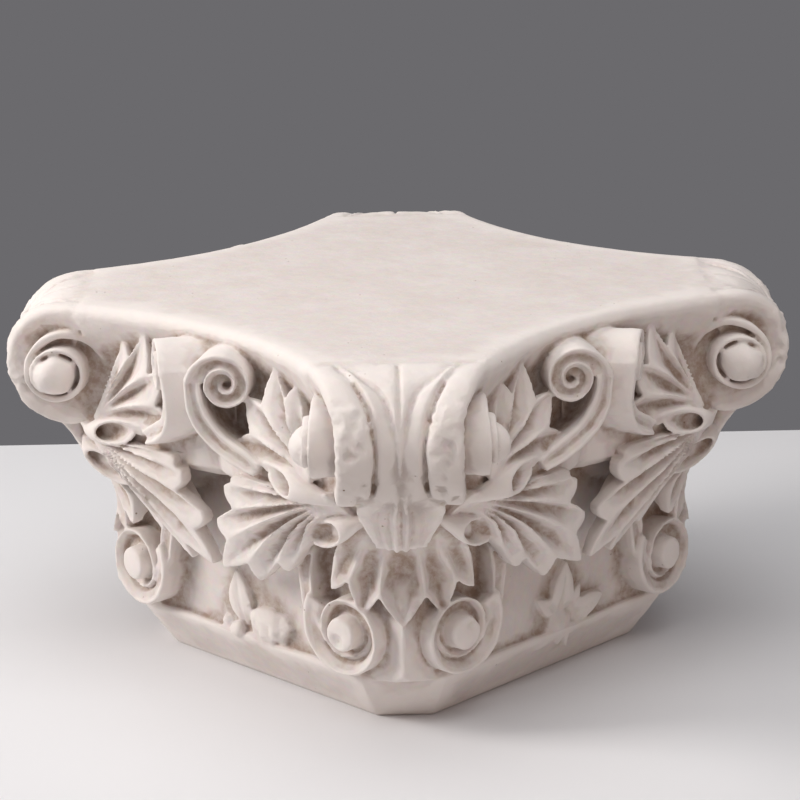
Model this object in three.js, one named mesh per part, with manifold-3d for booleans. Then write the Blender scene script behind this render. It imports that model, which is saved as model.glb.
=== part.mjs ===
// Corinthian capital, cast in one piece of plaster.
//
// Millimetres, +Z up. The origin is the centre of the underside, and X and Y
// are square to the four faces of the capital.
//
// The capital has four equal corners, and each corner is its own mirror image.
// So half a corner is modelled once, in a corner frame: r runs outward along
// the corner's diagonal, t runs sideways across it and z is up. The half is
// mirrored, turned to the four corners and joined to the block behind it.

import * as THREE from 'three';
import { mergeVertices } from 'three/addons/utils/BufferGeometryUtils.js';
import Module from 'manifold-3d';

const wasm = await Module();
wasm.setup();

// ---------------------------------------------------------------------------
// Driving dimensions

const HEIGHT = 360;

// The plinth is a square with chamfered corners that widens upward.
const PLINTH_TOP = 50;
const PLINTH_HALF = [178, 209];
const PLINTH_CHAMFER = [26.5, 39];

// The bell is the plain body behind the leaves, as [z, half side, chamfer].
const BELL = [
  [PLINTH_TOP, 203, 38],
  [120, 200, 40],
  [230, 202, 34],
  [290, 206, 42],
  [330, 214, 50],
];

// The abacus is a square slab with hollow sides, as [z, inset] from the top.
const ABACUS_REACH = 240;
const ABACUS_HOLLOW_RADIUS = 390;
const ABACUS_EDGE = [[HEIGHT, 7], [348, 0], [334, 9], [312, 40]];
const ABACUS_CORNER = { half: 60, reach: 318 };

// Each corner scroll rolls around an axis that runs sideways.
const SCROLL = { r: 311, z: 298, radius: 64, half: 53 };
const BAND = { outer: 46, inner: 27, gutter: 17 };
const VOLUTE_TILT = THREE.MathUtils.degToRad(18);
const VOLUTE_BOSS = { radius: 26, tip: 93, height: 18 };

// The small scrolls that meet at the middle of each side.
const HELIX = { r: 224, t: 157, z: 320, rise: 78 };
const HELIX_TURN = THREE.MathUtils.degToRad(34);

// The low scrolls on the plinth.
const LOW_SCROLL = { r: 250, t: 55, z: 94, rise: 40, eye: 14, proud: 17 };
const LOW_SCROLL_TURN = THREE.MathUtils.degToRad(4);

const LEAF_THICKNESS = 42;
const MIN_EDGE = 0.8;
const JOIN_TOLERANCE = 1e-3;

// ---------------------------------------------------------------------------
// Helpers

const vec = (r, t, z) => new THREE.Vector3(r, t, z);
const FACE_ANGLE = Math.PI / 4;
const FRONT_OUT = vec(1, 0, 0);
const UP = vec(0, 0, 1);
const QUARTER_TURN = Math.PI / 2;
const lerp = THREE.MathUtils.lerp;

// Six times the signed volume of the triangles.
function signedVolume(points, triangles) {
  let total = 0;
  for (const [a, b, c] of triangles) {
    total += points[a].dot(points[b].clone().cross(points[c]));
  }
  return total;
}

// Turns points and triangles into a solid with its faces pointing out.
function toSolid(points, triangles) {
  const outward = signedVolume(points, triangles) > 0;
  const vertProperties = new Float32Array(points.flatMap((p) => [p.x, p.y, p.z]));
  const facing = ([a, b, c]) => (outward ? [a, b, c] : [a, c, b]);
  const triVerts = new Uint32Array(triangles.flatMap(facing));
  return new wasm.Manifold(new wasm.Mesh({ numProp: 3, vertProperties, triVerts }));
}

function centreOf(ring) {
  const sum = vec(0, 0, 0);
  ring.forEach((point) => sum.add(point));
  return sum.divideScalar(ring.length);
}

// A closed body through rings that all have the same number of points. Each
// end is closed by a fan from the ring's middle.
function loft(rings) {
  const count = rings[0].length;
  const points = rings.flat();
  const triangles = [];
  for (let ring = 0; ring + 1 < rings.length; ring += 1) {
    for (let i = 0; i < count; i += 1) {
      const a = ring * count + i;
      const b = ring * count + ((i + 1) % count);
      triangles.push([a, b, b + count], [a, b + count, a + count]);
    }
  }
  const last = (rings.length - 1) * count;
  const middle = points.length;
  points.push(centreOf(rings[0]), centreOf(rings[rings.length - 1]));
  for (let i = 0; i < count; i += 1) {
    const next = (i + 1) % count;
    triangles.push([middle, next, i]);
    triangles.push([middle + 1, last + i, last + next]);
  }
  return toSolid(points, triangles);
}

// The solid of a closed three.js geometry.
function fromGeometry(geometry) {
  const plain = geometry.clone();
  plain.deleteAttribute('normal');
  plain.deleteAttribute('uv');
  const merged = mergeVertices(plain, JOIN_TOLERANCE);
  const position = merged.getAttribute('position');
  const pointAt = (_, i) => new THREE.Vector3().fromBufferAttribute(position, i);
  const points = Array.from({ length: position.count }, pointAt);
  const index = merged.getIndex().array;
  const triangles = [];
  for (let i = 0; i < index.length; i += 3) {
    triangles.push([index[i], index[i + 1], index[i + 2]]);
  }
  return toSolid(points, triangles);
}

const joinAll = (solids) => solids.reduce((whole, solid) => whole.add(solid));

// Reads a [place, value, value...] table at a place, straight between rows.
function readTable(table, place) {
  let k = 0;
  while (k + 2 < table.length && place > table[k + 1][0]) k += 1;
  const share = THREE.MathUtils.clamp((place - table[k][0]) / (table[k + 1][0] - table[k][0]), 0, 1);
  return table[k].slice(1).map((value, i) => lerp(value, table[k + 1][i + 1], share));
}

// A spiral scroll in relief, lofted from its rim to its eye. Every ring
// follows the spiral for one turn, so it ends nearer the eye than it starts,
// and the band steps inward there. The band table holds
// [turns, outer radius, width, reach, floor], and place(u, v, reach) puts a
// point of the scroll's flat frame into the corner frame.
function spiralRelief({ place, steps, start, sense, back, bands, eye }) {
  const ring = (turnOffset, read) => Array.from({ length: steps }, (_, i) => {
    const turns = i / steps;
    const angle = start + sense * turns * 2 * Math.PI;
    const [radius, reach] = read(readTable(bands, turns + turnOffset));
    return place(radius * Math.cos(angle), radius * Math.sin(angle), reach);
  });
  const rings = [ring(0, ([outer]) => [outer, back])];
  const wholeTurns = Math.floor(bands[bands.length - 1][0]);
  for (let turn = 0; turn < wholeTurns; turn += 1) {
    rings.push(ring(turn, ([outer, , reach]) => [outer, reach]));
    rings.push(ring(turn, ([outer, width, reach]) => [outer - width, reach]));
    rings.push(ring(turn, ([outer, width, , floor]) => [outer - width - 1, floor]));
  }
  eye.forEach((row) => rings.push(ring(0, () => row)));
  return loft(rings);
}

// ---------------------------------------------------------------------------
// The block: plinth, bell and abacus

// A square of a half side with its corners cut off, at height z.
function chamferedSquare(half, chamfer, z) {
  const near = half - chamfer * Math.SQRT2;
  const ring = [];
  for (let side = 0; side < 4; side += 1) {
    for (const along of [-near, near]) {
      ring.push(vec(half, along, z).applyAxisAngle(UP, side * QUARTER_TURN));
    }
  }
  return ring;
}

function plinth() {
  return loft([
    chamferedSquare(PLINTH_HALF[0], PLINTH_CHAMFER[0], 0),
    chamferedSquare(PLINTH_HALF[1], PLINTH_CHAMFER[1], PLINTH_TOP),
  ]);
}

function bell() {
  return loft(BELL.map(([z, half, chamfer]) => chamferedSquare(half, chamfer, z)));
}

// The abacus plan at one height: four hollow sides and four cut corners.
function abacusRing([z, inset]) {
  const steps = 3;
  const cornerAlong = (ABACUS_CORNER.reach - ABACUS_CORNER.half) / Math.SQRT2;
  const ring = [];
  for (let side = 0; side < 4; side += 1) {
    for (let i = -steps; i <= steps; i += 1) {
      const along = (cornerAlong * i) / steps;
      const depth = ABACUS_REACH + along ** 2 / (2 * ABACUS_HOLLOW_RADIUS) - inset;
      ring.push(vec(depth, along, z).applyAxisAngle(UP, side * QUARTER_TURN));
    }
  }
  return ring;
}

const abacus = () => loft(ABACUS_EDGE.map(abacusRing));

// ---------------------------------------------------------------------------
// The corner: scroll, volute, leaves

// A point of the corner scroll at an angle from straight out and a radius.
function scrollPoint(angle, radius, t) {
  return vec(SCROLL.r + radius * Math.cos(angle), t, SCROLL.z + radius * Math.sin(angle));
}

// The scroll is lofted sideways. Each ring is its outline at one t: the round
// front, sunk by an amount there, and a back that runs into the bell. Two
// round bands stand on either side of a gutter.
const SCROLL_RINGS = [[SCROLL.half, 4], [BAND.outer, 1], [BAND.inner, 1], [BAND.gutter, 12]];
const SCROLL_BACK = { r: 150, bottom: 232, top: 352 };
const SCROLL_START = THREE.MathUtils.degToRad(99);
const SCROLL_END = THREE.MathUtils.degToRad(-112);
const SCROLL_START_SINK = 2;

function scrollRing([t, sunk]) {
  const steps = 8;
  const ring = [vec(SCROLL_BACK.r, t, SCROLL_BACK.bottom), vec(SCROLL_BACK.r, t, SCROLL_BACK.top)];
  for (let i = 0; i <= steps; i += 1) {
    const angle = lerp(SCROLL_START, SCROLL_END, i / steps);
    const depth = i === 0 ? Math.max(SCROLL_START_SINK, sunk) : sunk;
    ring.push(scrollPoint(angle, SCROLL.radius - depth, t));
  }
  return ring;
}

function scroll() {
  const other = SCROLL_RINGS.map(([t, sunk]) => [-t, sunk]).reverse();
  return loft([...SCROLL_RINGS, ...other].map(scrollRing));
}

// The volute on the side of the scroll. Its spiral leaves the rim at the top,
// rolls over the front and stands prouder as it winds towards the boss.
const VOLUTE_BANDS = [
  [0, 61, 20, 60, 48],
  [0.25, 64, 22, 57, 47],
  [0.5, 60, 18, 58, 46],
  [0.75, 45, 10, 66, 50],
  [1, 38, 7, 73, 62],
];

function volute() {
  const slope = Math.tan(VOLUTE_TILT);
  const { radius, tip, height } = VOLUTE_BOSS;
  const lean = (reach) => (reach - SCROLL.half) * slope;
  return spiralRelief({
    place: (u, v, reach) => vec(SCROLL.r + u + lean(reach), reach, SCROLL.z + v),
    steps: 9,
    start: Math.PI / 2,
    sense: -1,
    back: 40,
    bands: VOLUTE_BANDS,
    eye: [[radius + 4, tip - height], [radius / 2, tip]],
  });
}

// A leaflet runs from a root to a tip along a bowed midrib. Its section is a
// shallow V with a body behind it, and it is widest near its middle.
function leaflet({ root, tip, bow, out, rootWidth, width, thickness, valley }) {
  const middle = root.clone().lerp(tip, 0.5).add(bow);
  const midrib = new THREE.QuadraticBezierCurve3(root, middle, tip);
  const shape = [[0, rootWidth, 0.5], [0.5, width, 1], [1, MIN_EDGE, 0.1]];
  return loft(shape.map(([place, half, depth]) => {
    const centre = midrib.getPoint(place);
    const along = midrib.getTangent(place);
    const across = out.clone().cross(along).normalize();
    const up = along.clone().cross(across).normalize();
    const at = (side, height) => (
      centre.clone().addScaledVector(across, side * half).addScaledVector(up, height)
    );
    return [at(0, -valley * depth), at(1, 0), at(0.6, -thickness), at(-0.6, -thickness), at(-1, 0)];
  }));
}

// The big leaf of a corner is one pleated sheet that stands off the bell. Its
// lobes spread from the scroll's underside as [root, end, lift], in turn a
// notch between two lobes, where the sheet rises by lift to a ridge, and a
// pointed tip, where it sinks by lift to a valley. It is listed from the
// highest lobe of one half down to the lobe on the diagonal.
const UPPER_ROOT = [283, 74, 246];
const LATERAL_ROOT = [296, 57, 229];
const LOWER_ROOT = [298, 28, 214];
const CENTRE_ROOT = [300, 6, 208];
const LEAF_RAYS = [
  [UPPER_ROOT, [256, 95, 325], 2],
  [UPPER_ROOT, [249, 105, 305], 4],
  [UPPER_ROOT, [235, 114, 339], -6],
  [UPPER_ROOT, [233, 122, 302], 5],
  [UPPER_ROOT, [224, 144, 300], -6],
  [UPPER_ROOT, [228, 132, 275], 5],
  [UPPER_ROOT, [208, 148, 265], -5],
  [UPPER_ROOT, [236, 122, 250], 4],
  [UPPER_ROOT, [248, 112, 236], -2],
  [LATERAL_ROOT, [222, 140, 226], 5],
  [LATERAL_ROOT, [192, 165, 200], -6],
  [LATERAL_ROOT, [196, 154, 172], 6],
  [LATERAL_ROOT, [177, 169, 136], -8],
  [LATERAL_ROOT, [199, 145, 143], 6],
  [LATERAL_ROOT, [202, 129, 131], -6],
  [LATERAL_ROOT, [217, 121, 150], 5],
  [LATERAL_ROOT, [225, 105, 148], -5],
  [LATERAL_ROOT, [244, 92, 168], 4],
  [LATERAL_ROOT, [256, 72, 186], -2],
  [LOWER_ROOT, [262, 66, 168], 5],
  [LOWER_ROOT, [261, 62, 141], -6],
  [LOWER_ROOT, [273, 46, 150], 5],
  [LOWER_ROOT, [270, 35, 119], -6],
  [CENTRE_ROOT, [282, 18, 140], 5],
];
const CENTRE_TIP = [[CENTRE_ROOT[0], 0, CENTRE_ROOT[2]], [287, 0, 112], -6];
const LEAF_CREST = 0.6;
const LEAF_BULGE = 7;

// The points of the leaf around one ray: crest, end, the end's back, which is
// inside the bell, and root.
function leafRay([root, end, lift]) {
  const from = vec(...root);
  const to = vec(...end);
  const out = vec(to.x, to.y, 0).normalize();
  const crest = from.clone().lerp(to, LEAF_CREST).addScaledVector(out, LEAF_BULGE + lift);
  return [crest, to, to.clone().addScaledVector(out, -LEAF_THICKNESS), from];
}

const otherSide = ([r, t, z]) => [r, -t, z];

function leaf() {
  const mirrored = LEAF_RAYS.map(([root, end, lift]) => [otherSide(root), otherSide(end), lift]);
  return loft([...LEAF_RAYS, CENTRE_TIP, ...mirrored.reverse()].map(leafRay));
}

// An eyelet is the curled hollow between two lobes of a leaf.
function eyelet(root, mouth, radius) {
  const steps = 5;
  const along = mouth.clone().sub(root).normalize();
  const across = UP.clone().cross(along).normalize();
  const up = along.clone().cross(across);
  const ring = (place, size) => Array.from({ length: steps }, (_, i) => {
    const angle = (i / steps) * 2 * Math.PI;
    return root.clone().lerp(mouth, place)
      .addScaledVector(across, Math.cos(angle) * size)
      .addScaledVector(up, Math.sin(angle) * size);
  });
  return loft([ring(0.2, 4), ring(1, radius), ring(0.7, radius * 0.4)]);
}

const eyelets = () => [
  eyelet(vec(276, 70, 238), vec(250, 114, 240), 12),
  eyelet(vec(296, 48, 219), vec(266, 72, 190), 14),
];

// The leaf that hangs from the front of the scroll between its two bands, as
// [r, z, half width, thickness].
const TONGUE = [
  [350, 328, 9, 22],
  [364, 285, 13, 26],
  [344, 240, 30, 38],
  [326, 226, 38, 42],
  [308, 187, 22, 30],
];
const TONGUE_SECTION = [[0.5, 0, 0], [1, 5, 2]];
const TONGUE_BACK = { half: 0.8, rise: 0.3 };

function tongue() {
  const side = (sign, [r, z, half, thickness]) => [
    ...TONGUE_SECTION.map(([share, back, up]) => vec(r - back, sign * half * share, z + up)),
    vec(r - thickness, sign * half * TONGUE_BACK.half, z + thickness * TONGUE_BACK.rise),
  ];
  return loft(TONGUE.map((row) => [...side(1, row), ...side(-1, row).reverse()]));
}

// ---------------------------------------------------------------------------
// The scrolls on the sides

// Places a point of a flat scroll: across and up in its plane, and out of it.
function scrollFrame(centre, turn) {
  const out = vec(Math.cos(turn), Math.sin(turn), 0);
  const across = vec(-Math.sin(turn), Math.cos(turn), 0);
  return (u, z, reach) => (
    centre.clone().addScaledVector(across, u).addScaledVector(out, reach).addScaledVector(UP, z)
  );
}

// The helix scroll beside the middle of a side. Its band comes up the stalk,
// goes over the top and curls inward.
const HELIX_BANDS = [
  [0, 36, 8, 2, -4],
  [0.25, 28, 6, 2, -4],
  [0.5, 24, 5, 2, -5],
  [1, 18, 5, 2, -6],
];

const helix = () => spiralRelief({
  place: scrollFrame(vec(HELIX.r, HELIX.t, HELIX.z), FACE_ANGLE - HELIX_TURN),
  steps: 7,
  start: 0,
  sense: 1,
  back: -HELIX.rise,
  bands: HELIX_BANDS,
  eye: [[6, -6]],
});

// The ribbon from the helix down to the leaf, as [outer edge, inner edge]. Its
// side walls run back to the bell.
const RIBBON = [
  [[217, 193, 322], [220, 179, 316]],
  [[213, 190, 290], [217, 173, 295]],
  [[216, 178, 267], [218, 164, 279]],
  [[226, 157, 248], [228, 145, 264]],
  [[240, 130, 238], [243, 125, 250]],
];

function ribbon() {
  const turn = FACE_ANGLE - HELIX_TURN;
  const back = vec(Math.cos(turn), Math.sin(turn), 0).multiplyScalar(-HELIX.rise);
  return loft(RIBBON.map(([outer, inner]) => [
    vec(...outer).add(back),
    vec(...outer),
    vec(...inner),
    vec(...inner).add(back),
  ]));
}

// The low scroll's band comes down beside the leaf, and its eye is a disc.
const LOW_BANDS = [
  [0, 37, 8, 10, 2],
  [0.5, 34, 7, 10, 2],
  [1, 27, 6, 10, 2],
];

const lowScroll = () => spiralRelief({
  place: scrollFrame(vec(LOW_SCROLL.r, LOW_SCROLL.t, LOW_SCROLL.z), FACE_ANGLE - LOW_SCROLL_TURN),
  steps: 7,
  start: Math.PI / 4,
  sense: -1,
  back: -LOW_SCROLL.rise,
  bands: LOW_BANDS,
  eye: [[LOW_SCROLL.eye + 1, 2], [LOW_SCROLL.eye, LOW_SCROLL.proud]],
});

// ---------------------------------------------------------------------------
// The flower low on each side, in a side frame: x out, y along, z up

const PETAL_ROOT = vec(208, 0, 70);
const PETALS = [[vec(211, -3, 116), 12], [vec(206, 27, 84), 8]];
const KNOB = { x: 203, y: 2, z: 64, radius: 15, depth: 0.8, width: 1.3 };

function flower() {
  const knob = new THREE.SphereGeometry(KNOB.radius, 6, 3);
  knob.scale(KNOB.depth, KNOB.width, 1);
  knob.translate(KNOB.x, KNOB.y, KNOB.z);
  const petals = PETALS.map(([tip, width]) => leaflet({
    root: PETAL_ROOT,
    tip,
    bow: vec(4, 0, 0),
    out: FRONT_OUT,
    rootWidth: 4,
    width,
    thickness: 24,
    valley: 3,
  }));
  return [...petals, fromGeometry(knob)];
}

// ---------------------------------------------------------------------------
// Joining everything

function corner() {
  const half = joinAll([
    ...eyelets(),
    volute(),
    helix(),
    ribbon(),
    lowScroll(),
  ]);
  return joinAll([half, half.mirror([0, 1, 0]), leaf(), scroll(), tongue()]);
}

function capital() {
  const block = joinAll([plinth(), bell(), abacus()]);
  const parts = [block];
  const oneCorner = corner();
  const oneFlower = joinAll(flower());
  for (let turn = 0; turn < 4; turn += 1) {
    parts.push(oneCorner.rotate([0, 0, 45 + 90 * turn]), oneFlower.rotate([0, 0, 90 * turn]));
  }
  return joinAll(parts);
}

// The joined solid as a three.js geometry. Faces that graze each other leave
// specks apart from the body, so only the largest body is used.
function toGeometry(solid) {
  const [body] = solid.decompose().sort((a, b) => b.volume() - a.volume());
  const mesh = body.getMesh();
  const geometry = new THREE.BufferGeometry();
  geometry.setAttribute('position', new THREE.BufferAttribute(mesh.vertProperties, 3));
  geometry.setIndex(new THREE.BufferAttribute(mesh.triVerts, 1));
  geometry.computeVertexNormals();
  return geometry;
}

const plaster = new THREE.MeshStandardMaterial({ color: 0xe4dcd4, roughness: 0.85, metalness: 0 });
const mesh = new THREE.Mesh(toGeometry(capital()), plaster);
mesh.name = 'capital';

const group = new THREE.Group();
group.add(mesh);

export default group;
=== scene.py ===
"""The plaster capital's finished surface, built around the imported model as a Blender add-on."""

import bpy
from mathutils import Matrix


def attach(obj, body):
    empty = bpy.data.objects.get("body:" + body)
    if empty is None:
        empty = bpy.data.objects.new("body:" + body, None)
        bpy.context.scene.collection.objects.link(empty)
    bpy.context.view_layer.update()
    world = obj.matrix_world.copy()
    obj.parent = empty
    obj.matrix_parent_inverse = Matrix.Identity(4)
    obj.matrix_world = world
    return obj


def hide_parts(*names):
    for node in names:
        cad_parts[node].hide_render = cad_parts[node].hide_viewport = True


bl_info = {
    "name": "Plaster capital",
    "version": (1, 0, 0),
    "blender": (4, 5, 0),
    "location": "View3D > Sidebar > Capital",
    "description": "Builds a plaster cast of a Corinthian capital with its leaves, scrolls and finish",
    "category": "Object",
}

import math

import bpy
import numpy as np
from mathutils import Matrix, Vector

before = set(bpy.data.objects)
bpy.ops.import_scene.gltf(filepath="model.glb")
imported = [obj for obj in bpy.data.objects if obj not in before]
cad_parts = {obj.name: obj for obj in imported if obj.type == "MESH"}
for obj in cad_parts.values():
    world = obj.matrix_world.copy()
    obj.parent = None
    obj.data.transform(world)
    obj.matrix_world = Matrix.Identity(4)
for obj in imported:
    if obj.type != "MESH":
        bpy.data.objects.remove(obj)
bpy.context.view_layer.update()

MM = 0.001
PIECE = "capital_cast"
NODE = "capital"


# ---------------------------------------------------------------------------
# Colours and nodes


def srgb(hex_value):
    """A colour written as an sRGB hex value, as linear red, green, blue and alpha."""
    channels = [int(hex_value[i:i + 2], 16) / 255 for i in (1, 3, 5)]
    linear = [c / 12.92 if c <= 0.04045 else ((c + 0.055) / 1.055) ** 2.4 for c in channels]
    return (*linear, 1.0)


def add_node(tree, kind, settings=None, values=None, links=None):
    """Adds a node, sets its properties and socket values, and links other sockets into it."""
    node = tree.nodes.new(kind)
    for name, value in (settings or {}).items():
        setattr(node, name, value)
    for name, value in (values or {}).items():
        node.inputs[name].default_value = value
    for name, source in (links or {}).items():
        tree.links.new(source, node.inputs[name])
    return node


# ---------------------------------------------------------------------------
# Mesh tools. Points are millimetres in numpy arrays until the mesh is made.


def outward(points, triangles):
    """The same triangles, turned if needed so that their faces point out."""
    a, b, c = (points[triangles[:, i]] for i in range(3))
    volume = np.einsum("ij,ij->i", a, np.cross(b, c)).sum()
    return points, (triangles if volume > 0 else triangles[:, ::-1])


def loft(rings):
    """A closed body through rings of points, with each end closed to its middle."""
    rings = np.asarray(rings, float)
    count, size, _ = rings.shape
    index = np.arange(count * size).reshape(count, size)
    shifted = np.roll(index, -1, 1)
    a, b, c, d = index[:-1], shifted[:-1], shifted[1:], index[1:]
    sides = np.concatenate([np.stack([a, b, c], -1), np.stack([a, c, d], -1)]).reshape(-1, 3)
    middle = np.full(size, count * size)
    first = np.stack([middle, shifted[0], index[0]], -1)
    last = np.stack([middle + 1, index[-1], shifted[-1]], -1)
    points = np.vstack([rings.reshape(-1, 3), rings[0].mean(0), rings[-1].mean(0)])
    return outward(points, np.vstack([sides, first, last]))


def mirrored(body):
    """The body on the other side of the corner's diagonal."""
    points, triangles = body
    return points * [1, -1, 1], triangles[:, ::-1]


def turned(body, degrees):
    """The body turned about the capital's axis."""
    points, triangles = body
    c, s = math.cos(math.radians(degrees)), math.sin(math.radians(degrees))
    x, y, z = points.T
    return np.stack([c * x - s * y, s * x + c * y, z], 1), triangles


def smooth_table(table, place):
    """Reads a table of [place, value...] rows along a smooth curve through its rows."""
    table = np.asarray(table, float)
    place = np.clip(np.asarray(place, float), table[0, 0], table[-1, 0])
    k = np.clip(np.searchsorted(table[:, 0], place, "right") - 1, 0, len(table) - 2)
    x0, x1 = table[k, 0], table[k + 1, 0]
    u = ((place - x0) / (x1 - x0))[..., None]
    values = table[:, 1:]
    slope = np.gradient(values, table[:, 0], axis=0)
    span = (x1 - x0)[..., None]
    h1, h2 = 2 * u**3 - 3 * u**2 + 1, u**3 - 2 * u**2 + u
    h3, h4 = 3 * u**2 - 2 * u**3, u**3 - u**2
    return h1 * values[k] + h2 * span * slope[k] + h3 * values[k + 1] + h4 * span * slope[k + 1]


def smooth_path(rows, count):
    """Even samples of a smooth curve through rows of values."""
    rows = np.asarray(rows, float)
    table = np.column_stack([np.linspace(0, 1, len(rows)), rows])
    return smooth_table(table, np.linspace(0, 1, count))


def unit(vectors):
    """The vectors at length 1."""
    return vectors / np.linalg.norm(vectors, axis=-1, keepdims=True)


def step(low, high, x):
    """0 below low, 1 above high and a smooth rise between."""
    u = np.clip((x - low) / (high - low), 0, 1)
    return u * u * (3 - 2 * u)


def side_point(s, depth, z):
    """A point given by its distance s from the middle of a side and its depth from the axis."""
    s, depth, z = np.broadcast_arrays(s, depth, z)
    return np.stack([(s + depth) / math.sqrt(2), (depth - s) / math.sqrt(2), z], -1)


def noise(points, size, seed):
    """Smooth noise from -1 to 1 with cells of a size, the same on every run."""
    random = np.random.default_rng(seed)
    table = random.uniform(-1, 1, (32, 32, 32))
    q = points / size
    base = np.floor(q).astype(int)
    u = q - base
    u = u * u * (3 - 2 * u)
    total = 0
    for corner in np.ndindex(2, 2, 2):
        weight = np.prod(np.where(corner, u, 1 - u), axis=1)
        i, j, k = ((base + corner) % 32).T
        total = total + weight * table[i, j, k]
    return total


# ---------------------------------------------------------------------------
# The block: plinth, bell and abacus


# The plinth and the bell as [z, half side, half width of the cut corner].
PLINTH = [
    (0, 176, 26), (2, 178, 26.5), (20, 190, 31), (44, 206, 38), (49, 208, 39), (52, 206, 39), (54, 196, 39),
]
BELL = [
    (46, 200, 30), (54, 201, 8), (60, 201.5, 1.5), (120, 200.5, 1.5), (150, 200, 8), (200, 200, 30),
    (250, 201, 36), (285, 206, 44), (305, 213, 52), (325, 222, 60),
]
# The abacus edge as [z, how far it lies inside the hollow curve].
ABACUS_EDGE = [
    (360, 13), (359.4, 8), (357.6, 4), (354.5, 1.2), (351, 0), (347.5, 0.8), (344, 2.8), (338, 6),
    (330, 10), (321, 15.5), (310, 23), (299, 32), (288, 42),
]
ABACUS_REACH = 240
ABACUS_RADIUS = 390
ABACUS_HALF_SIDE = (302 - 78) / math.sqrt(2)
ABACUS_STEPS = 41
SQUARE_STEPS = 12


def cut_square(half, chamfer, z):
    """A square of a half side with its corners cut by a chamfer's half width."""
    near = half - chamfer * math.sqrt(2)
    along = np.linspace(-near, near, SQUARE_STEPS)
    side = np.stack([np.full(SQUARE_STEPS, half), along], 1)
    sides = []
    for k in range(4):
        c, s = round(math.cos(k * math.pi / 2)), round(math.sin(k * math.pi / 2))
        sides.append(np.stack([c * side[:, 0] - s * side[:, 1], s * side[:, 0] + c * side[:, 1]], 1))
    plan = np.vstack(sides)
    return np.column_stack([plan, np.full(len(plan), z)])


def plinth():
    """The foot: a chamfered square that widens upward, with a soft top edge."""
    return loft([cut_square(half, chamfer, z) for z, half, chamfer in PLINTH])


def bell():
    """The plain body: a sharp square low down, hidden by leaves and flaring above."""
    return loft([cut_square(half, chamfer, z) for z, half, chamfer in BELL])


def abacus():
    """The square slab with hollow sides, a soft rim and a hollow moulding under it."""
    along = np.linspace(-ABACUS_HALF_SIDE, ABACUS_HALF_SIDE, ABACUS_STEPS)
    rings = []
    for z, inset in ABACUS_EDGE:
        depth = ABACUS_REACH + along**2 / (2 * ABACUS_RADIUS) - inset
        side = np.stack([depth, along, np.full(len(along), z)], 1)
        rings.append(np.vstack([turned((side, None), 90 * k)[0] for k in range(4)]))
    return loft(rings)


# ---------------------------------------------------------------------------
# The corner scroll. Angles are measured from straight out, up being positive.


SCROLL_CENTRE = (311, 298)
SCROLL_ANGLES = (104, -128, 110)
VOLUTE_DISC = 53.0
# The full radius, then the band's outer and inner edge, the sunk petal's inner edge and its depth.
SCROLL_REACH = [
    (-130, 58), (-76, 60), (-50, 61.5), (-20, 63.5), (10, 65), (30, 65.5), (60, 64), (90, 62), (104, 62),
]
BAND_OUTER = [(-130, 54), (-76, 54), (-36, 53), (12, 53.5), (38, 59), (61, 67), (90, 77), (104, 81.5)]
BAND_INNER = [(-130, 26), (-76, 25), (-38, 24.5), (6, 23), (26, 26), (47, 33), (69, 43), (90, 52), (104, 56)]
PETAL_EDGE = [(-130, 3), (0, 3.2), (18, 5), (35, 8.7), (54, 17), (69, 32), (90, 46), (104, 52)]
PETAL_SUNK = [(-130, 12), (-76, 11), (-40, 9.5), (0, 8.5), (20, 7.5), (40, 5), (60, 2.5), (80, 0.8), (104, 0)]
# The hollow side under a band as [drop below the full radius, inset from the outer edge].
SCROLL_HOLLOW = [(5, 0.3), (11, 1.0), (17, 3.2), (23, 6.5), (30, 11), (38, 17), (46, 25)]


def scroll_point(angle, radius, t):
    """A point of the scroll at an angle in degrees and a radius."""
    angle, radius, t = np.broadcast_arrays(np.radians(angle), radius, t)
    r = SCROLL_CENTRE[0] + radius * np.cos(angle)
    z = SCROLL_CENTRE[1] + radius * np.sin(angle)
    return np.stack([r, t, z], -1)


def front_sink(angle, t):
    """How far the front of the scroll lies below its full radius."""
    outer, inner, petal, sunk = (float(smooth_table(table, angle)[0]) for table in
                                 (BAND_OUTER, BAND_INNER, PETAL_EDGE, PETAL_SUNK))
    side = np.abs(t)
    x = (side - inner) / (outer - inner)
    relief = float(1 - step(84, 102, angle))
    low = float(1 - step(-10, 30, angle))
    # A band: a flat inner facet that turns to a duller outer one, and a soft outer edge.
    facet = 2.2 * np.clip((x - 0.5) / 0.5, 0, 1) * low
    crown = 3.4 * np.abs(x - 0.5) ** 2.4 * 4
    band = 0.8 + relief * (facet + crown) + 6 * np.clip((x - 0.84) / 0.16, 0, 1) ** 2.2
    y = np.clip((side - petal) / (inner - petal), 0, 1)
    rib = 1.4 * np.exp(-(((y - 0.62) / 0.1) ** 2))
    lobe = sunk + relief * 2.4 * (1 - np.sin(np.pi * y) ** 0.8) - relief * rib
    w = np.clip(side / petal, 0, 1)
    centre = sunk * 0.8 + relief * 2.2 * w**2
    sink = np.where(x >= 0, band, np.where(side > petal, lobe, centre))
    for place, depth, width in ((inner - 1.0, 6.5, 1.7), (petal, 3.2, 1.4)):
        sink = sink + relief * depth * np.exp(-(((side - place) / width) ** 2))
    groove = float(step(98, 86, angle)) if angle > 20 else float(step(-10, 20, angle))
    return sink + 3.4 * groove * np.exp(-((t / 1.5) ** 2))


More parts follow.
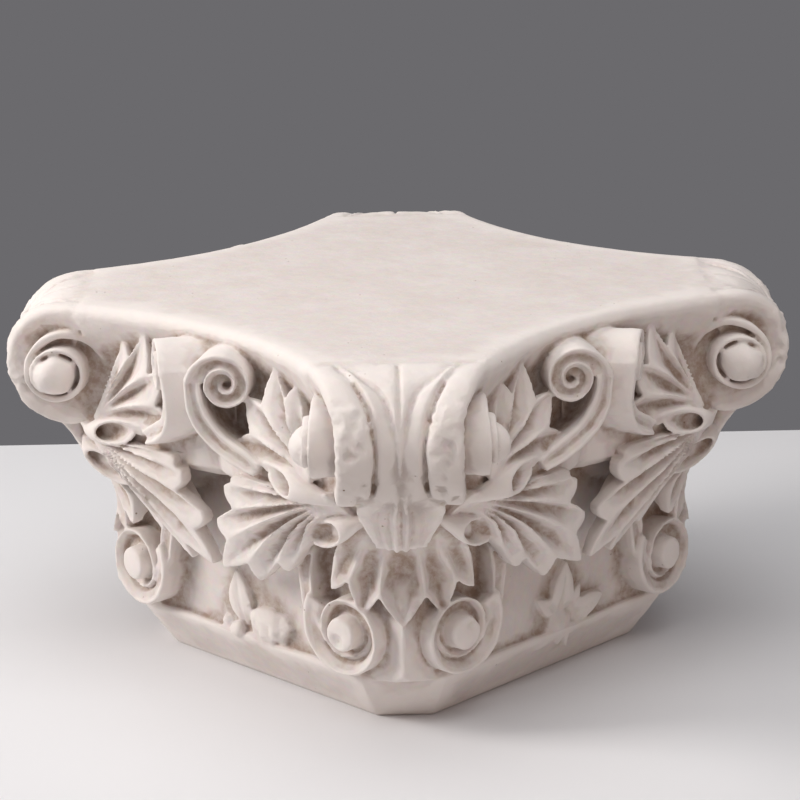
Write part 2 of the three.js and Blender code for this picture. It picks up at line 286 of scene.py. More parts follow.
def scroll():
    """The rolled corner of the abacus: two worn bands with a sunk leaf between them."""
    rings = []
    for angle in np.linspace(*SCROLL_ANGLES):
        outer = float(smooth_table(BAND_OUTER, angle)[0])
        full = float(smooth_table(SCROLL_REACH, angle)[0])
        t = np.linspace(-outer, outer, 150)
        front = scroll_point(angle, full - front_sink(angle, t), t)
        under = []
        for drop, inset in SCROLL_HOLLOW:
            under.append((full - drop, max(outer - inset, min(VOLUTE_DISC, outer - inset / 4))))
        under.append((12, 50))
        left = [scroll_point(angle, radius, place) for radius, place in under]
        right = [scroll_point(angle, radius, -place) for radius, place in reversed(under)]
        rings.append(np.vstack([front, left, right]))
    return loft(rings)


def web():
    """The body between the upper and the lateral fan, a little behind both."""
    plan = [(140, 178), (182, 164), (213, 140), (241, 114), (268, 88), (300, 58)]
    rings = []
    for z, share in [(214, 0.93), (224, 0.985), (240, 0.995), (256, 0.985), (266, 0.95)]:
        side = np.array([(r * share, t * share, z) for r, t in plan])
        rings.append(np.vstack([side, side[::-1] * [1, -1, 1]]))
    return loft(rings)


def throat():
    """The body under the horn that carries the scroll and backs the upper leaf."""
    plan = [(150, 190), (176, 156), (200, 126), (240, 94), (274, 71), (308, 55)]
    levels = [(206, 0.84), (226, 0.94), (240, 0.985), (262, 0.985), (300, 0.985), (335, 1.0), (352, 1.0)]
    rings = []
    for z, share in levels:
        side = np.array([(r * share, t * share, z) for r, t in plan])
        rings.append(np.vstack([side, side[::-1] * [1, -1, 1]]))
    return loft(rings)


# ---------------------------------------------------------------------------
# Spiral reliefs


def spiral_relief(place, bands, start, sense, back, profile, steps=110, drift=(0, 0)):
    """A scroll in relief: one band swept along a spiral, with the floor beside it.

    The bands hold [turns, outer radius, width, reach, floor], and the profile the band's section as
    [share of the width, drop in mm]. The spiral's middle drifts sideways in its last turn.
    place(u, v, reach) puts a point of the flat scroll into the corner frame.
    """
    end = bands[-1][0]
    turns = np.linspace(0, end, int(steps * end))
    outer, width, reach, floor = smooth_table(bands, turns).T
    next_outer = smooth_table(bands, turns + 1)[:, 0]
    inside = np.where(turns + 1 < end, next_outer - 1, 0.5)
    angle = math.radians(start) + sense * turns * 2 * math.pi
    moved = step(0.8, 1.5, turns)

    def line(radius, height):
        u = radius * np.cos(angle) + drift[0] * moved
        v = radius * np.sin(angle) + drift[1] * moved
        return place(u, v, height)

    section = [line(outer, np.full(len(turns), back))]
    section += [line(outer - share * width, reach - drop) for share, drop in profile]
    floor_edge = outer - width
    floor_end = np.minimum(inside, floor_edge - 0.2)
    section += [line(floor_edge, floor), line(floor_end, floor), line(floor_end, np.full(len(turns), back))]
    return loft(np.stack(section, 1))


def lathe(place, rows, steps=40, lumps=0.0, seed=0):
    """A round body in a scroll's frame through rows of [radius, reach]."""
    angle = np.arange(steps) / steps * 2 * math.pi
    rings = []
    for radius, reach in rows:
        size = np.full(steps, radius)
        if lumps:
            spots = np.stack([np.cos(angle) * radius, np.sin(angle) * radius, np.full(steps, reach)], 1)
            size = size + lumps * noise(spots, 9, seed)
        rings.append(place(size * np.cos(angle), size * np.sin(angle), reach))
    return loft(rings)


def flat_frame(centre, degrees):
    """Places a flat scroll that faces a direction in plan: u across, v up, reach outward."""
    c, s = math.cos(math.radians(degrees)), math.sin(math.radians(degrees))
    centre = np.asarray(centre, float)

    def place(u, v, reach):
        u, v, reach = np.broadcast_arrays(u, v, reach)
        return centre + np.stack([c * reach + s * u, s * reach - c * u, v], -1)

    return place


VOLUTE_TILT = math.tan(math.radians(17))
VOLUTE_PROFILE = [
    (0, 5), (0.03, 2.4), (0.1, 0.7), (0.25, 0), (0.6, 0.4), (0.85, 1.2), (0.96, 2.4), (1.0, 4.5),
]
VOLUTE_BOSS = [(18.6, 52), (18.6, 80), (17.6, 84), (15.2, 88), (11.5, 91.6), (7, 94.4), (3, 95.6)]
VOLUTE_DRIFT = (6.5, -4)
VOLUTE_BANDS = [
    (0, 60, 22, 58, 51), (0.12, 62, 25, 55.5, 50), (0.25, 63, 28, 54.5, 51), (0.38, 62, 24, 55, 54),
    (0.5, 59.5, 17, 57, 56), (0.56, 57, 14, 58, 58), (0.63, 51, 12, 61, 60), (0.75, 43.5, 11, 66, 60),
    (0.88, 40, 9.5, 71, 60), (1.0, 38, 8, 75, 60), (1.12, 35.5, 7, 77.5, 61), (1.25, 32, 6, 79, 63),
    (1.38, 29.5, 5.5, 78, 63), (1.5, 28, 5, 77, 64), (1.62, 27.5, 5, 78, 65), (1.75, 27.5, 4.8, 79.5, 67),
    (1.88, 27, 4.6, 81.5, 70), (2.0, 25.5, 4.4, 83, 73), (2.2, 23, 4, 84.5, 76), (2.4, 20, 2, 84, 80),
]


def volute_place(u, v, reach):
    """The frame of the volute: its axis leans toward the tip of the horn."""
    u, v, reach = np.broadcast_arrays(u, v, reach)
    lean = np.maximum(reach - VOLUTE_DISC, 0) * VOLUTE_TILT
    return np.stack([SCROLL_CENTRE[0] + u + lean, reach, SCROLL_CENTRE[1] - 1 + v], -1)


def volute():
    """The stepped spiral on the side of the horn, with its round boss."""
    spiral = spiral_relief(volute_place, VOLUTE_BANDS, 90, -1, 40, VOLUTE_PROFILE, drift=VOLUTE_DRIFT)

    def boss_place(u, v, reach):
        return volute_place(u + VOLUTE_DRIFT[0], v + VOLUTE_DRIFT[1], reach)

    return [spiral, lathe(boss_place, VOLUTE_BOSS, lumps=2.2, seed=3)]


HELIX_AXIS = 45 - 34
HELIX_CENTRE = (222, 156.5, 319.5)
HELIX_BACK = -80
HELIX_BANDS = [
    (0, 37, 15.5, 2, -4), (0.12, 32, 13, 2.2, -4), (0.25, 28, 11, 2.4, -4), (0.5, 24, 9.5, 2, -5),
    (0.75, 21, 8.5, 1.5, -5), (0.9, 19, 7, 2.5, -6), (1.0, 18.2, 6.5, 3.5, -6), (1.25, 15.6, 6, 4, -8),
    (1.5, 11.5, 5, 3.5, -10), (1.75, 8.5, 4, 2.5, -13), (2.0, 5.5, 2.5, 0, -16),
]
HELIX_PROFILE = [
    (0, 1.6), (0.06, 0.3), (0.16, 0), (0.26, 0.5), (0.38, 2.6), (0.55, 4.0), (0.75, 4.6), (0.92, 4.4),
    (1.0, 5),
]


def helix():
    """One of the paired scrolls at the middle of a side, curled from its stalk into a hollow eye."""
    place = flat_frame(HELIX_CENTRE, HELIX_AXIS)
    return [spiral_relief(place, HELIX_BANDS, 180, -1, HELIX_BACK, HELIX_PROFILE)]


# The ribbon from the leaf up to the helix: its outer and inner edge and the way it faces.
RIBBON = [
    (215, 193, 325, 218, 179, 319, 11), (213.5, 192.5, 307, 216.5, 177, 305, 11),
    (212, 190.5, 290, 215.5, 173.5, 294, 11), (213.5, 183, 273, 216.5, 166, 281, 12),
    (219, 169, 258, 220.5, 156.5, 271, 15), (226, 155.5, 248, 228, 144, 263, 19),
    (232, 143, 242, 235, 133, 256, 24), (238, 132, 238, 241, 126, 250, 30),
]
# Its section as [share of the way from the outer to the inner edge, reach].
RIBBON_SECTION = [
    (-0.02, -78), (-0.02, -20), (-0.01, -2), (0.05, 0), (0.15, 0.3), (0.24, -1.2), (0.36, -3.0), (0.5, -3.4),
    (0.64, -3.0), (0.76, -1.2), (0.85, 0.3), (0.95, 0), (1.01, -2), (1.0, -20), (0.98, -78),
]


def ribbon():
    """The band that rises from the leaf to the helix: a fillet on each edge and deep side walls."""
    rows = smooth_path(RIBBON, 70)
    outer, inner = rows[:, 0:3], rows[:, 3:6]
    facing = np.radians(rows[:, 6])
    out = np.stack([np.cos(facing), np.sin(facing), np.zeros(len(rows))], 1)
    rings = [outer + (inner - outer) * share + out * reach for share, reach in RIBBON_SECTION]
    return loft(np.stack(rings, 1))


LOW_CENTRE = side_point(143.5, 211, 95)
LOW_FACING = 45 - 6
LOW_BACK = -20
LOW_BANDS = [
    (0, 52, 19, 12, 3), (0.1, 48, 17, 12, 3), (0.22, 44, 14, 12, 3), (0.35, 41, 11.5, 12, 2.5),
    (0.6, 38, 9, 12, 2), (0.85, 33, 7, 12, 1), (1.0, 29.5, 6, 11.5, 0), (1.15, 27, 5, 10, 0),
    (1.4, 25, 4.5, 7, 0), (1.6, 23.5, 4, 3, 0),
]
LOW_PROFILE = [(0, 2.4), (0.07, 0.5), (0.16, 0), (0.26, 0.4), (0.36, 2.2), (0.6, 3.6), (0.85, 4.6), (1.0, 6)]
LOW_EYE = [(17, LOW_BACK), (16.6, 0), (16, 12), (15.4, 15.4), (14, 16.4)]


def low_scroll():
    """A flat scroll low on the corner, with its round eye."""
    place = flat_frame(LOW_CENTRE, LOW_FACING)
    spiral = spiral_relief(place, LOW_BANDS, 145, 1, LOW_BACK, LOW_PROFILE)
    return [spiral, lathe(place, LOW_EYE, lumps=0.5, seed=5)]


# The strap as [distance from the middle of the side, depth, z, half width], and its section.
STRAP = [
    (116, 222, 80, 6), (107, 223, 95, 8), (101, 223, 110, 8.5), (98, 223, 125, 8.5), (96, 222.5, 142, 9),
    (97, 220, 162, 9), (103, 217, 185, 9),
]
STRAP_SECTION = [
    (-1.05, -26), (-1, -2), (-0.9, 0), (-0.7, 0), (-0.55, -2), (0.55, -2.4), (0.7, 0), (0.9, 0.4), (1, -1.5),
    (1.05, -26),
]


def strap():
    """The strap behind the leaf that becomes the low scroll's outer band."""
    rows = smooth_path(STRAP, 30)
    out = np.array([1, 1, 0]) / math.sqrt(2)
    centre = side_point(rows[:, 0], rows[:, 1], rows[:, 2])
    across = unit(np.cross(out, unit(np.gradient(centre, axis=0))))
    half = rows[:, 3:4]
    lines = [centre + across * half * side + out * reach for side, reach in STRAP_SECTION]
    return loft(np.stack(lines, 1))


# ---------------------------------------------------------------------------
# The acanthus leaf. Its lobes are folds of one sheet.


FULL_FOLD = 8
RIDGE = 1.3
TIP_EDGE = 3.0
TIP_INSET = 14


def pleated_leaf(rays, outs, thickness, bulge=3.0, sub=7, samples=30, vein=1.6):
    """A leaf folded like a fan.

    Each ray is [root, control, end, lift]. Rays are in turn the raised edge between two lobes, with
    a positive lift, and the sunk midrib of a lobe, which ends in its tip. outs gives the outward
    direction at the first and the last ray.
    """
    u = np.linspace(0, 1, samples)[:, None]
    rays = [tuple(np.asarray(value, float) for value in ray) for ray in rays]
    outs = np.asarray(outs, float)
    rings = []
    total = (len(rays) - 1) * sub
    for i, (now, then) in enumerate(zip(rays[:-1], rays[1:])):
        for j in range(sub + (i == len(rays) - 2)):
            f = j / sub
            root, control, end, lift = (a + (b - a) * f for a, b in zip(now, then))
            edge = f if then[3] > now[3] else 1 - f
            crest, sole = max(now[3], then[3]), min(now[3], then[3])
            sunk = math.sin(math.pi / 2 * (1 - edge)) ** 0.8
            lift = crest + (sole - crest) * sunk
            fold = np.clip(abs(then[3] - now[3]) / FULL_FOLD, 0, 1)
            end = end + unit(end - control) * bulge * math.sin(math.pi * f) ** 0.7 * fold
            out = unit(outs[0] + (outs[1] - outs[0]) * (i * sub + j) / total)
            line = (1 - u) ** 2 * root + 2 * u * (1 - u) * control + u**2 * end
            rise = lift * step(0.1, 0.62, u) * (1 - 0.8 * step(0.6, 1, u))
            groove = vein * math.exp(-((edge / 0.13) ** 2))
            rise = rise - groove * step(0.3, 0.55, u) * (1 - step(0.93, 1, u))
            ridge = RIDGE * math.exp(-(((1 - edge) / 0.14) ** 2))
            rise = rise + ridge * step(0.28, 0.5, u) * (1 - step(0.9, 1, u))
            front = line + out * rise
            inset = unit(root - end) * np.clip(u - 0.8, 0, 1) * TIP_INSET
            rear = line + inset - out * thickness * (1 - 0.55 * step(0.72, 1, u))
            rings.append(np.vstack([front, front[-1:] - out * TIP_EDGE, rear[::-1]]))
    return loft(rings)


UPPER_ROOT = (291, 79, 250)
UPPER = [
    (UPPER_ROOT, (276, 84, 282), (265, 84, 312), 3),
    (UPPER_ROOT, (272, 90, 285), (259.7, 92.4, 326), -4),
    (UPPER_ROOT, (268, 95, 282), (254, 100.8, 313), 5),
    (UPPER_ROOT, (263, 98, 284), (237.5, 111.5, 340), -7),
    (UPPER_ROOT, (260, 101, 282), (234.3, 122, 303), 6),
    (UPPER_ROOT, (258, 104, 280), (220.7, 138.5, 307.5), -7),
    (UPPER_ROOT, (257, 106, 273), (227.6, 133, 276), 6),
    (UPPER_ROOT, (257, 107, 266), (211.5, 146, 266), -6),
    (UPPER_ROOT, (260, 106, 260), (238.4, 124, 251), 5),
    (UPPER_ROOT, (263, 106, 254), (244, 118, 243), 0),
]
LATERAL_ROOT = (304, 55, 232)
LATERAL_SPREAD = (-3, -22, -20)
LATERAL = [
    (LATERAL_ROOT, (276, 92, 230), (236, 128, 233), 3),
    (LATERAL_ROOT, (270, 98, 228), (213, 150, 232.5), -2),
    (LATERAL_ROOT, (268, 100, 226), (211, 154, 224), 4),
    (LATERAL_ROOT, (268, 101, 224), (204, 162, 217), -6),
    (LATERAL_ROOT, (270, 100, 223), (210.8, 152.6, 200), 6),
    (LATERAL_ROOT, (270, 99, 223), (184.5, 171, 181), -7),
    (LATERAL_ROOT, (272, 97, 223), (193.2, 160, 165), 7),
    (LATERAL_ROOT, (272, 97, 224), (177, 168, 131), -9),
    (LATERAL_ROOT, (274, 95, 225), (204, 141, 145), 7),
    (LATERAL_ROOT, (276, 93, 226), (199.5, 131.5, 125), -7),
    (LATERAL_ROOT, (279, 90, 226), (227, 112, 154), 6),
    (LATERAL_ROOT, (281, 88, 226), (229.6, 104, 145), -6),
    (LATERAL_ROOT, (284, 84, 226), (249, 90, 171), 5),
    (LATERAL_ROOT, (288, 78, 226), (254, 84, 178), 2),
]
CENTRE_SPREAD = [
    ((302, 44, 216), (274, 58, 186), (258, 62, 166), 4),
    ((302, 34, 212), (267, 50, 172), (261, 65, 138), -4),
    ((303, 28, 211), (266, 38, 166), (269, 49, 148), 5),
    ((303, 20, 210), (263, 28, 160), (271, 36.5, 117), -4),
    ((303, 12, 209), (264, 18, 158), (280, 21, 137), 5),
    ((303, 0, 208), (258, 0, 158), (288, 0, 109.5), -4),
]


def leaves():
    """The upper and lateral fans of half a corner."""
    face = (1, 1, 0.05)
    upper = pleated_leaf(UPPER, ((1, 1.15, 0.1), (1, 1.05, 0.1)), 24, bulge=3.5)
    spread = np.outer(np.linspace(-0.5, 0.5, len(LATERAL)), LATERAL_SPREAD)
    bundle = [(np.array(ray[0]) + shift, *ray[1:]) for ray, shift in zip(LATERAL, spread)]
    lateral = pleated_leaf(bundle, (face, (1, 0.75, 0.0)), 34, bulge=4.5)
    return [upper, lateral]


def centre_leaf():
    """The lower fan on the diagonal, whose lobes curl outward."""
    other = []
    for *points, lift in CENTRE_SPREAD[:-1]:
        other.append((*(np.asarray(point, float) * [1, -1, 1] for point in points), lift))
    rays = CENTRE_SPREAD + other[::-1]
    return pleated_leaf(rays, ((1, 0.35, 0), (1, -0.35, 0)), 26, bulge=3.0)


# The leaf's body as [z, reach on the diagonal, half width].
LEAF_BODY = [
    (134, 250, 14), (150, 254, 36), (168, 260, 60), (186, 272, 76), (204, 289, 84), (220, 305, 84),
    (234, 318, 80), (246, 318, 74), (256, 310, 66),
]
LEAF_BODY_STEPS = 21
LEAF_BODY_BACK = 170


def leaf_body():
    """The solid part of the leaf behind the folds, where its three fans meet."""
    rings = []
    for z, r, half in LEAF_BODY:
        t = np.linspace(-half, half, LEAF_BODY_STEPS)
        front = np.stack([r - (t / half) ** 2 * 0.62 * half, t, np.full(LEAF_BODY_STEPS, z)], 1)
        rings.append(np.vstack([front, [(LEAF_BODY_BACK, side * (half + 30), z) for side in (1, -1)]]))
    return loft(rings)


# An eyelet's wall as [share of its length, share of its radius]: up the outside, over the lip and
# down the inside to the closed end of the hollow.
EYELET_WALL = [
    (0.0, 0.3), (0.3, 0.62), (0.6, 0.9), (0.85, 1.0), (0.97, 0.98), (1.0, 0.93), (1.0, 0.82), (0.95, 0.74),
    (0.8, 0.68), (0.64, 0.55), (0.56, 0.2),
]


def eyelet(root, mouth, radius, lean, steps=36):
    """A curled hollow between two lobes: a tapering tube whose mouth is cut at a slant."""
    root, mouth = np.asarray(root, float), np.asarray(mouth, float)
    along = unit(mouth - root)
    across = unit(np.cross([0, 0, 1], along))
    up = np.cross(along, across)
    angle = np.arange(steps) / steps * 2 * math.pi
    curl = 1 - 0.14 * (np.arange(steps) / steps)
    rings = []
    for place, share in EYELET_WALL:
        size = radius * share * curl
        slant = along * lean * np.cos(angle)[:, None] * place
        circle = np.outer(np.cos(angle) * size, across) + np.outer(np.sin(angle) * size, up)
        rings.append(root + (mouth - root) * place + slant + circle)
    return loft(rings)


def eyelets():
    return [
        eyelet((300, 60, 234), (268, 108, 243), 13.5, 20),
        eyelet((304, 32, 219), (280, 68, 196), 14.5, 25),
    ]


# The hanging leaf between the bands: [r, z, half width, bow backward, thickness].
TONGUE = [
    (352, 334, 6, 0.5, 20), (360, 314, 9, 0.8, 22), (361.5, 294, 12, 1.2, 26), (359, 272, 17, 1.8, 30),
    (350, 252, 23, 3, 34), (340, 239, 32, 5, 36), (331, 230, 38.5, 7, 34), (322, 217, 36.5, 8, 26),
    (313, 201, 29, 7, 20), (308, 189, 22, 5, 14),
]


def tongue():
    """The ribbed leaf that hangs between the bands and flares to a blunt tip."""
    rows = smooth_path(TONGUE, 70)
    centre = np.stack([rows[:, 0], np.zeros(len(rows)), rows[:, 1]], 1)
    along = unit(np.gradient(centre, axis=0))
    out = np.stack([-along[:, 2], np.zeros(len(rows)), along[:, 0]], 1)
    out = out * np.sign(out[:, :1] + 1e-9)
    x = np.linspace(-1, 1, 61)
    rings = []
    for k, (r, z, half, bow, thickness) in enumerate(rows):
        place = k / (len(rows) - 1)
        spread = float(step(0.35, 0.6, place))
        relief = -bow * x**2 - 2.4 * np.exp(-((x * half / 1.6) ** 2))
        for rib in (0.36, 0.68):
            reach = rib * (0.25 + 0.75 * place)
            relief = relief - (0.4 + spread) * 2.0 * np.exp(-(((np.abs(x) - reach) * half / 1.3) ** 2))
        relief = relief + spread * 2.2 * np.exp(-(((np.abs(x) - 0.14) * half / 3.0) ** 2))
        relief = relief + spread * 1.2 * np.clip((np.abs(x) - 0.9) / 0.1, 0, 1)
        front = centre[k] + np.outer(relief, out[k]) + np.outer(x * half, [0, 1, 0])
        rear_line = np.outer(x[::-12] * half * 0.85, [0, 1, 0])
        rear = centre[k] - out[k] * thickness + rear_line + np.array([0, 0, 2.0])
        rings.append(np.vstack([front, rear]))
    return loft(rings)


# ---------------------------------------------------------------------------
# The flowers low on the sides, in a side frame: x out, y along, z up


def petal(base, tip, half, lift, thickness=14, groove=1.6, bow=0.0):
    """A pointed petal that stands off the side, with a grooved middle."""
    base, tip = np.asarray(base, float), np.asarray(tip, float)
    out = np.array([1.0, 0, 0])
    u = np.linspace(0, 1, 18)
    width = half * np.sin(np.pi * np.clip(u, 0.06, 1) ** 0.8) ** 0.85 + 0.6
    across = unit(np.cross(out, tip - base))
    centre = base + np.outer(u, tip - base) + np.outer(np.sin(np.pi * u) * bow, across)
    x = np.linspace(-1, 1, 13)
    rings = []
    for k, place in enumerate(u):
        crown = lift * math.sin(math.pi * (0.15 + 0.8 * place))
        rise = crown - 2.0 * x**2 - groove * np.exp(-((x / 0.22) ** 2))
        front = centre[k] + np.outer(x * width[k], across) + np.outer(rise, out)
        rear = centre[k] + np.outer(x[::-4] * width[k], across) - out * thickness
        rings.append(np.vstack([front, rear]))
    return loft(rings)


def knob(centre, radii, seed, lumps=2.0):
    """A worn lump."""
    centre = np.asarray(centre, float)
    latitudes = np.linspace(-0.48, 0.48, 16) * math.pi
    steps = 28
    angle = np.arange(steps) / steps * 2 * math.pi
    rings = []
    for latitude in latitudes:
        flat = math.cos(latitude)
        ball = np.stack([np.full(steps, math.sin(latitude)), flat * np.cos(angle), flat * np.sin(angle)], 1)
        spots = ball * radii
        rings.append(centre + spots * (1 + lumps / 10 * noise(spots + 50, 8, seed))[:, None])
    return loft(rings)


def rosette():
    """A pointed leaf over a worn rosette."""
    return [
        petal((201, -9, 60), (206, -17, 114), 15, 6, groove=2.2),
        petal((203, 2, 62), (208, 36, 84), 12, 7),
        petal((203, 2, 60), (206, 58, 74), 13, 7),
        knob((204, 33, 68), (9, 24, 17), 11, 3.0),
        knob((203, -17, 55), (9, 10, 9), 12, 3.0),
        knob((202, -34, 57), (6, 7, 6), 13, 3.0),
        knob((202, 6, 50), (7, 14, 6), 14, 3.0),
    ]


def sprig():
    """An upright leaf with two side petals on a stem."""
    return [
        petal((202, 2, 66), (207, 13, 117), 14, 7, groove=2.2),
        petal((202, 14, 64), (206, 34, 90), 7, 5),
        petal((202, 16, 60), (206, 66, 71), 11, 6),
        petal((202, 0, 68), (204, -24, 86), 8, 5),
        petal((202, 5, 76), (203, 4, 34), 15, 5, groove=0.4),
        petal((202, -2, 56), (202, -30, 37), 8, 4),
        petal((202, 26, 60), (202, 18, 28), 5, 4, bow=-6),
    ]


# ---------------------------------------------------------------------------
# Joining, casting and wear


def corner():
    """Every body of one corner."""
    half = [*volute(), *helix(), ribbon(), *low_scroll(), strap(), *leaves(), *eyelets()]
    middle = [scroll(), web(), throat(), tongue(), centre_leaf(), leaf_body()]
    return half + [mirrored(body) for body in half] + middle


def all_bodies():
    """The block, its four corners and the flower of each side."""
    bodies = [plinth(), bell(), abacus()]
    one_corner = corner()
    for k in range(4):
        bodies += [turned(body, 45 + 90 * k) for body in one_corner]
        flower = sprig() if k % 2 == 0 else rosette()
        bodies += [turned(body, 90 * k) for body in flower]
    return bodies


def mesh_from(bodies, name):
    """One Blender mesh, in metres, from many bodies in millimetres."""
    points = np.vstack([body[0] for body in bodies]) * MM
    starts = np.cumsum([0] + [len(body[0]) for body in bodies[:-1]])
    triangles = np.vstack([body[1] + start for body, start in zip(bodies, starts)])
    mesh = bpy.data.meshes.new(name)
    mesh.vertices.add(len(points))
    mesh.vertices.foreach_set("co", points.ravel())
    mesh.loops.add(triangles.size)
    mesh.loops.foreach_set("vertex_index", triangles.ravel().astype(np.int32))
    mesh.polygons.add(len(triangles))
    mesh.polygons.foreach_set("loop_start", np.arange(0, triangles.size, 3, dtype=np.int32))
    mesh.update(calc_edges=True)
    mesh.validate()
    return mesh


def apply_modifier(piece, kind, **settings):
    """Runs one modifier on a piece and keeps its result as the piece's mesh."""
    modifier = piece.modifiers.new(kind.lower(), kind)
    for name, value in settings.items():
        setattr(modifier, name, value)
    graph = bpy.context.evaluated_depsgraph_get()
    result = bpy.data.meshes.new_from_object(piece.evaluated_get(graph))
    piece.modifiers.remove(modifier)
    old = piece.data
    piece.data = result
    bpy.data.meshes.remove(old)


def read_points(mesh):
    """The mesh's points in metres."""
    co = np.empty(len(mesh.vertices) * 3, np.float32)
    mesh.vertices.foreach_get("co", co)
    return co.reshape(-1, 3).astype(float)


def read_normals(mesh):
    values = np.empty(len(mesh.vertices) * 3, np.float32)
    mesh.vertices.foreach_get("normal", values)
    return values.reshape(-1, 3).astype(float)


def read_edges(mesh):
    edges = np.empty(len(mesh.edges) * 2, np.int32)
    mesh.edges.foreach_get("vertices", edges)
    return edges.reshape(-1, 2)


def neighbour_mean(values, edges):
    """The mean of each point's neighbours."""
    count = np.bincount(edges.ravel(), minlength=len(values)).astype(float)
    total = np.empty_like(values)
    for column in range(values.shape[1]):
        total[:, column] = np.bincount(edges[:, 0], values[edges[:, 1], column], len(values))
        total[:, column] += np.bincount(edges[:, 1], values[edges[:, 0], column], len(values))
    return total / np.maximum(count, 1)[:, None]


# Hand-made unevenness as [height, size of its cells, seed].
UNEVEN = [(0.65, 42, 21), (0.45, 17, 22), (0.35, 7, 23)]


def corner_axes(points):
    """How far points lie out along the nearest diagonal, and sideways from it."""
    out, side = np.abs(points[:, 0]), np.abs(points[:, 1])
    return (out + side) / math.sqrt(2), np.abs(out - side) / math.sqrt(2)


def wear(mesh):
    """Hand-made unevenness, rough worn bands and chipped edges."""
    points = read_points(mesh) / MM
    normals = read_normals(mesh)
    r_axis, t_axis = corner_axes(points)
    uneven = sum(height * noise(points, size, seed) for height, size, seed in UNEVEN)
    on_band = step(346, 362, r_axis) * step(20, 28, t_axis) * (1 - step(56, 62, t_axis))
    on_band = on_band * step(225, 245, points[:, 2])
    rough = on_band * (1.6 * np.minimum(noise(points, 9, 24), 0.25) + 1.1 * noise(points, 4.5, 25))
    flat = step(353, 358, points[:, 2]) * (1 - step(285, 305, r_axis))
    foot = 1 - step(0, 6, points[:, 2])
    move = (uneven * (1 - 0.75 * flat) + rough) * (1 - foot)
    points = points + normals * move[:, None]
    for (x, y, z), size, depth in CHIPS:
        away = np.linalg.norm(points - [x, y, z], axis=1)
        dent = depth * np.clip(1 - (away / size) ** 2, 0, 1)
        points = points - normals * dent[:, None] * (0.8 + 0.2 * noise(points, 5, 26))[:, None]
    points[:, 2] = np.clip(points[:, 2], 0, None)
    mesh.vertices.foreach_set("co", (points * MM).astype(np.float32).ravel())
    mesh.update()


def at_corner(k, r, t, z):
    """A place in the whole capital from corner k's frame."""
    a = math.radians(45 + 90 * k)
    return (r * math.cos(a) - t * math.sin(a), r * math.sin(a) + t * math.cos(a), z)


# Knocks on the scrolls as [place, size, depth].
CHIPS = [
    (at_corner(2, 372, 56, 275), 9, 4.5), (at_corner(2, 366, 56, 263), 6, 3.0),
    (at_corner(2, 345, 56, 243), 7, 2.5), (at_corner(0, 375, -56, 318), 10, 5.0),
    (at_corner(0, 368, -56, 285), 7, 3.0), (at_corner(3, 368, -57, 333), 7, 3.0),
    (at_corner(3, 350, 50, 250), 9, 5.0), (at_corner(3, 376, 40, 305), 7, 2.5),
    (at_corner(3, 258, 62, 100), 9, 3.0), (at_corner(1, 370, 40, 290), 9, 3.5),
    (at_corner(3, 262, -62, 88), 8, 4.0),
]
# The two scales of a hollow as [rounds of smoothing, weight].
CAVITY_SCALES = [(4, 0.7), (26, 0.17)]


def cavity(mesh):
    """How sunk each point lies below its surroundings, from 0 to 1, at two scales."""
    points = read_points(mesh) / MM
    normals = read_normals(mesh)
    edges = read_edges(mesh)
    smoothed = points.copy()
    depth = np.zeros(len(points))
    for rounds, weight in CAVITY_SCALES:
        for _ in range(rounds):
            smoothed = 0.35 * smoothed + 0.65 * neighbour_mean(smoothed, edges)
        depth += weight * np.einsum("ij,ij->i", smoothed - points, normals)
    values = np.clip(0.5 + 0.5 * depth, 0, 1)
    return neighbour_mean(values[:, None], edges)[:, 0]


def painted_scroll_shade(mesh):
    """Painted shade on the lower fronts of the corner scrolls, strongest where they face down."""
    points = read_points(mesh) / MM
    r_axis, _ = corner_axes(points)
    # Painted shade: outer parts low on the corners, weighted toward faces that point down.
    worn = step(318, 350, r_axis + 12 * noise(points, 14, 31)) * (1 - step(265, 335, points[:, 2]))
    return worn * step(-0.2, 0.5, -read_normals(mesh)[:, 2] + 0.15)


def store(mesh, name, values):
    """Keeps a value for each point, for the material to read."""
    attribute = mesh.attributes.new(name, "FLOAT", "POINT")
    attribute.data.foreach_set("value", values.astype(np.float32))


# ---------------------------------------------------------------------------
# Materials


